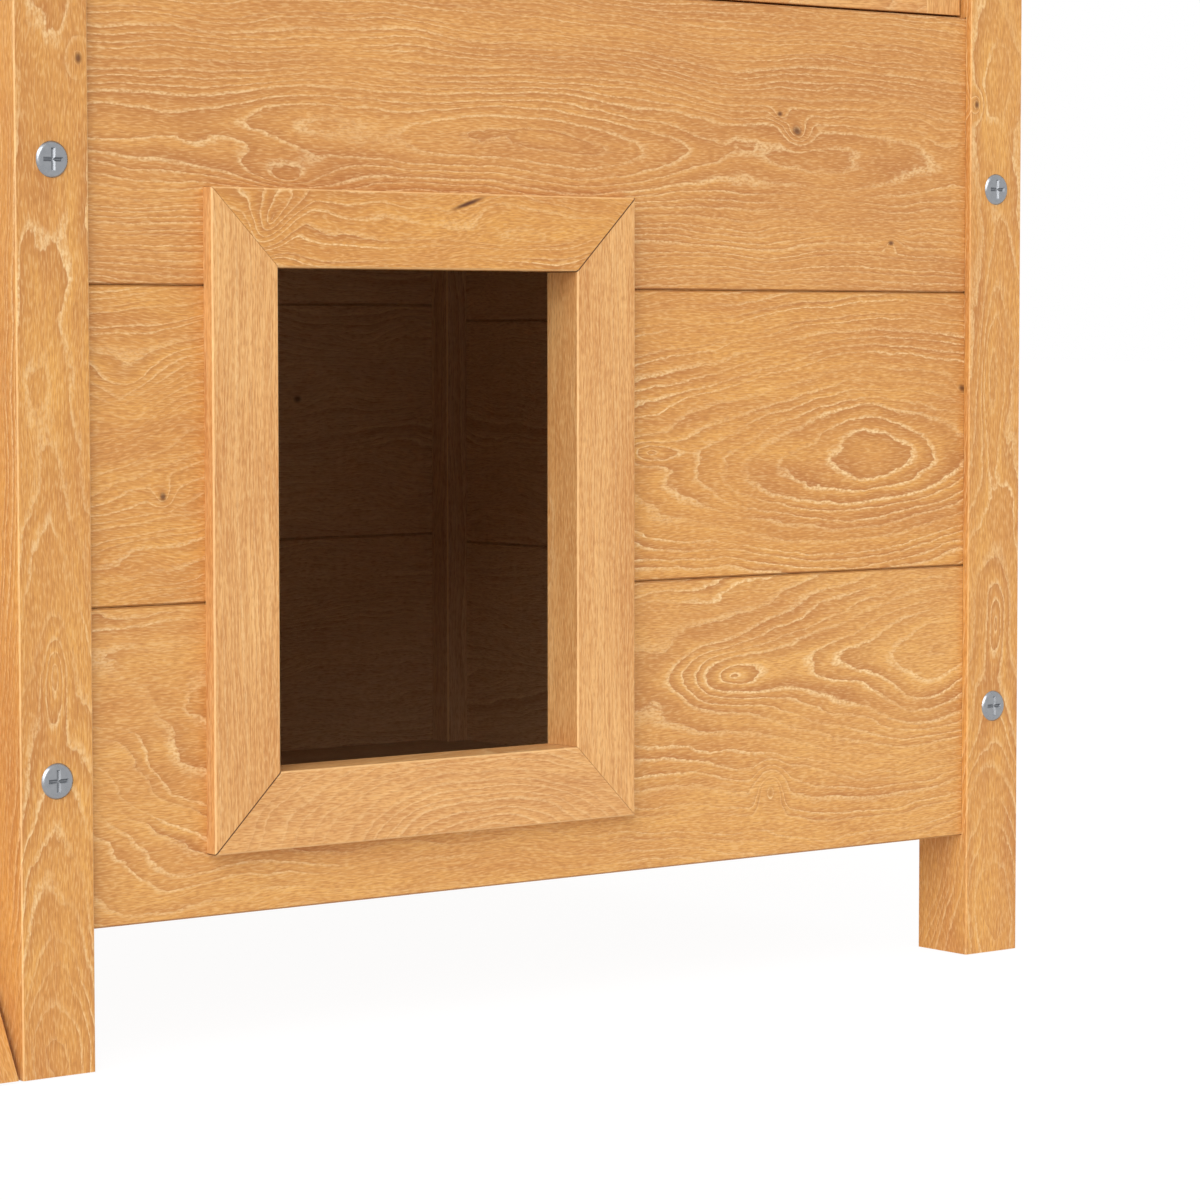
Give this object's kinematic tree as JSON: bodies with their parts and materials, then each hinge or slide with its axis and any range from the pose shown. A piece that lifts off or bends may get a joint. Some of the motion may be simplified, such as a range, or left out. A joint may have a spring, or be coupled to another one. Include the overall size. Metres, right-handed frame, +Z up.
{
  "type": "outdoor cat house",
  "caption": "Raised two-storey wooden cat house with a framed ground-floor doorway, hinged windows, a hinged sloping roof, and a side landing with a ramp.",
  "frame": {"origin": "on the ground, below the middle of the whole object's bounding box", "axes": "+Z up; the wall with the ground-floor doorway faces -Y; the landing and the ramp stand on the -X side; the roof is hinged at +Y"},
  "size_m": [0.696, 0.486, 0.7362],
  "materials": {
    "wood": "honey-stained hardwood with a satin clear coat",
    "plywood": "sanded plywood",
    "steel": "zinc-plated",
    "pane": "clear acrylic sheet",
    "shingle": "mineral-faced asphalt shingle"
  },
  "bodies": {
    "house": {"front_left_post": "wood", "front_right_post": "wood", "back_left_post": "wood", "back_right_post": "wood", "front_bottom_board": "wood", "front_middle_board_left": "wood", "front_middle_board_right": "wood", "front_top_board": "wood", "doorway_trim_left": "wood", "doorway_trim_right": "wood", "doorway_trim_top": "wood", "doorway_trim_bottom": "wood", "front_head_rail": "wood", "back_boards": "wood", "right_boards": "wood", "left_boards": "wood", "left_entry_boards": "wood", "entry_trim_front": "wood", "entry_trim_back": "wood", "entry_trim_top": "wood", "entry_trim_bottom": "wood", "lower_floor": "plywood", "upper_floor": "plywood", "floor_cleats": "wood", "post_screws": "steel", "fixed_hinge_leaves": "steel", "hinge_pins": "steel", "stay_bolt": "steel", "landing_slats": "wood", "landing_joists": "wood", "landing_legs": "wood", "landing_rail_posts": "wood", "landing_balusters": "wood", "landing_rails": "wood", "button_screw": "steel"},
    "button": {"turn_button": "steel"},
    "left_window": {"left_window_hinge_stile": "wood", "left_window_meeting_stile": "wood", "left_window_top_rail": "wood", "left_window_bottom_rail": "wood", "left_window_pane": "pane", "left_window_hinge_leaves": "steel", "left_window_knob": "wood"},
    "right_window": {"right_window_hinge_stile": "wood", "right_window_meeting_stile": "wood", "right_window_top_rail": "wood", "right_window_bottom_rail": "wood", "right_window_pane": "pane", "right_window_hinge_leaves": "steel", "right_window_knob": "wood"},
    "roof": {"roof_panel": "plywood", "roof_front_strip": "wood", "roof_side_strips": "wood", "roof_shingles": "shingle", "roof_hinge_leaves": "steel", "stay_plate": "steel"},
    "stay": {"stay_arm": "steel"},
    "ramp": {"ramp_board": "wood", "ramp_treads": "wood", "ramp_hinge_leaves": "steel"}
  },
  "joints": [
    {"name": "left_window_hinge", "type": "hinge", "parent": "house", "child": "left_window", "pos_m": [-0.1645, -0.2056, 0.549], "axis": [0, 0, -1], "range_deg": [0, 95]},
    {"name": "right_window_hinge", "type": "hinge", "parent": "house", "child": "right_window", "pos_m": [0.2825, -0.2056, 0.549], "axis": [0, 0, 1], "range_deg": [0, 95]},
    {"name": "button_turn", "type": "hinge", "parent": "house", "child": "button", "pos_m": [0.059, -0.2055, 0.699], "axis": [0, 1, 0], "range_deg": [0, 90]},
    {"name": "roof_lid", "type": "hinge", "parent": "house", "child": "roof", "pos_m": [0.059, 0.2118, 0.65428], "axis": [-1, 0, 0], "range_deg": [0, 65]},
    {"name": "roof_stay", "type": "hinge", "parent": "house", "child": "stay", "pos_m": [0.2915, 0.11709, 0.64683], "axis": [-1, 0, 0], "range_deg": [0, 130]},
    {"name": "ramp_hinge", "type": "hinge", "parent": "house", "child": "ramp", "pos_m": [-0.263, 0.01728, 0.4158], "axis": [-1, 0, 0], "range_deg": [0, 60]}
  ],
  "couplings": [
    {"joint": "roof_stay", "follows": "roof_lid", "ratio": 2}
  ]
}
